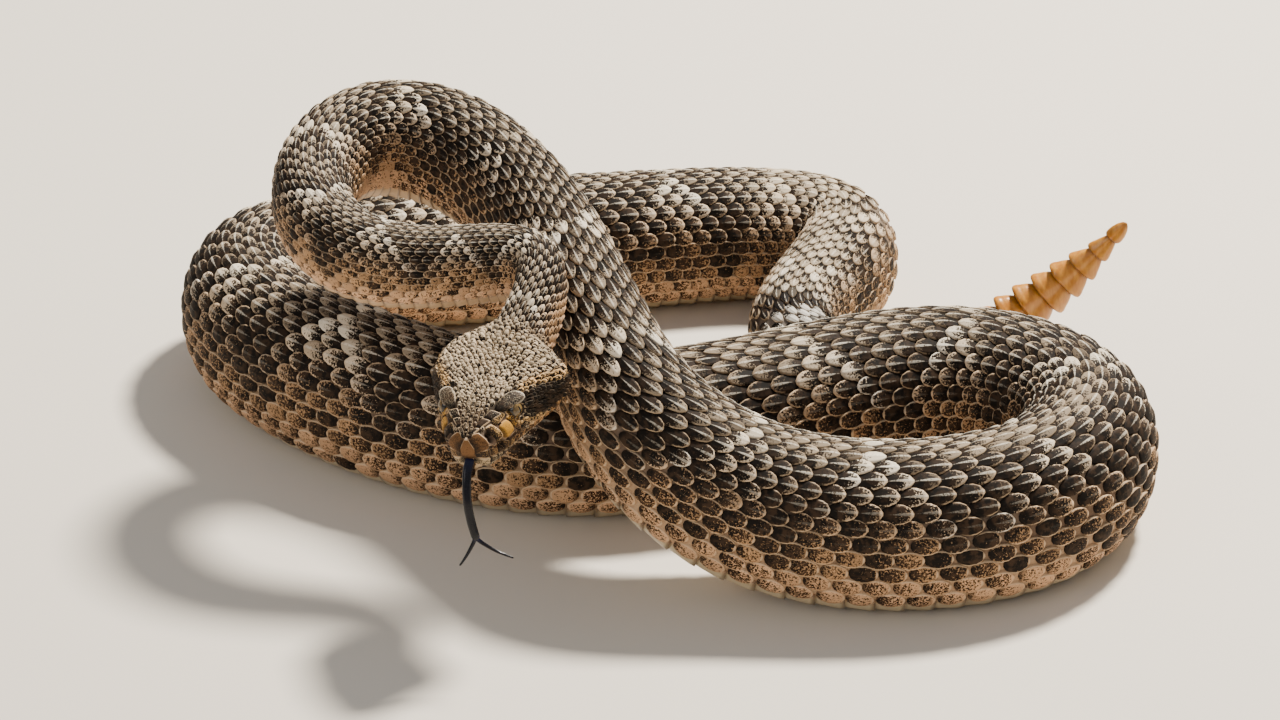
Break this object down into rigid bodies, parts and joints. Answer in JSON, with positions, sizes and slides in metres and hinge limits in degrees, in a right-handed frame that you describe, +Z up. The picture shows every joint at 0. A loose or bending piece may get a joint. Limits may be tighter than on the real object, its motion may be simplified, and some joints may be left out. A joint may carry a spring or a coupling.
{
  "type": "western diamondback rattlesnake",
  "caption": "Life-size still model of a western diamondback rattlesnake, coiled with its neck raised over the coil, tongue out and rattle up.",
  "frame": {"origin": "middle of the footprint, on the floor that the coil lies on", "axes": "+Z up, +X to the right as the face is seen, -Y the way the head points"},
  "size_m": [0.3194, 0.2774, 0.1243],
  "materials": {
    "body_skin": "keeled scales, dusty grey-brown with dark diamonds",
    "head_skin": "granular pale grey-brown scales",
    "jaw_skin": "smooth buff plates",
    "tail_skin": "ash white with black rings",
    "eye": "polished, clear over a grey-bronze iris with an upright pupil",
    "tongue": "moist black",
    "rattle": "dry horn, ochre"
  },
  "bodies": {
    "root": {"head": "head_skin", "lower_jaw": "jaw_skin", "eye_left": "eye", "eye_right": "eye", "tongue": "tongue", "neck": "body_skin", "body_1": "body_skin", "body_2": "body_skin", "body_3": "body_skin", "body_4": "body_skin", "body_5": "body_skin", "body_6": "body_skin", "body_7": "body_skin", "body_8": "body_skin", "body_9": "body_skin", "body_10": "body_skin", "body_11": "body_skin", "body_12": "body_skin", "tail": "tail_skin", "rattle_1": "rattle", "rattle_2": "rattle", "rattle_3": "rattle", "rattle_4": "rattle", "rattle_5": "rattle", "rattle_6": "rattle", "rattle_7": "rattle", "rattle_8": "rattle"}
  },
  "joints": []
}
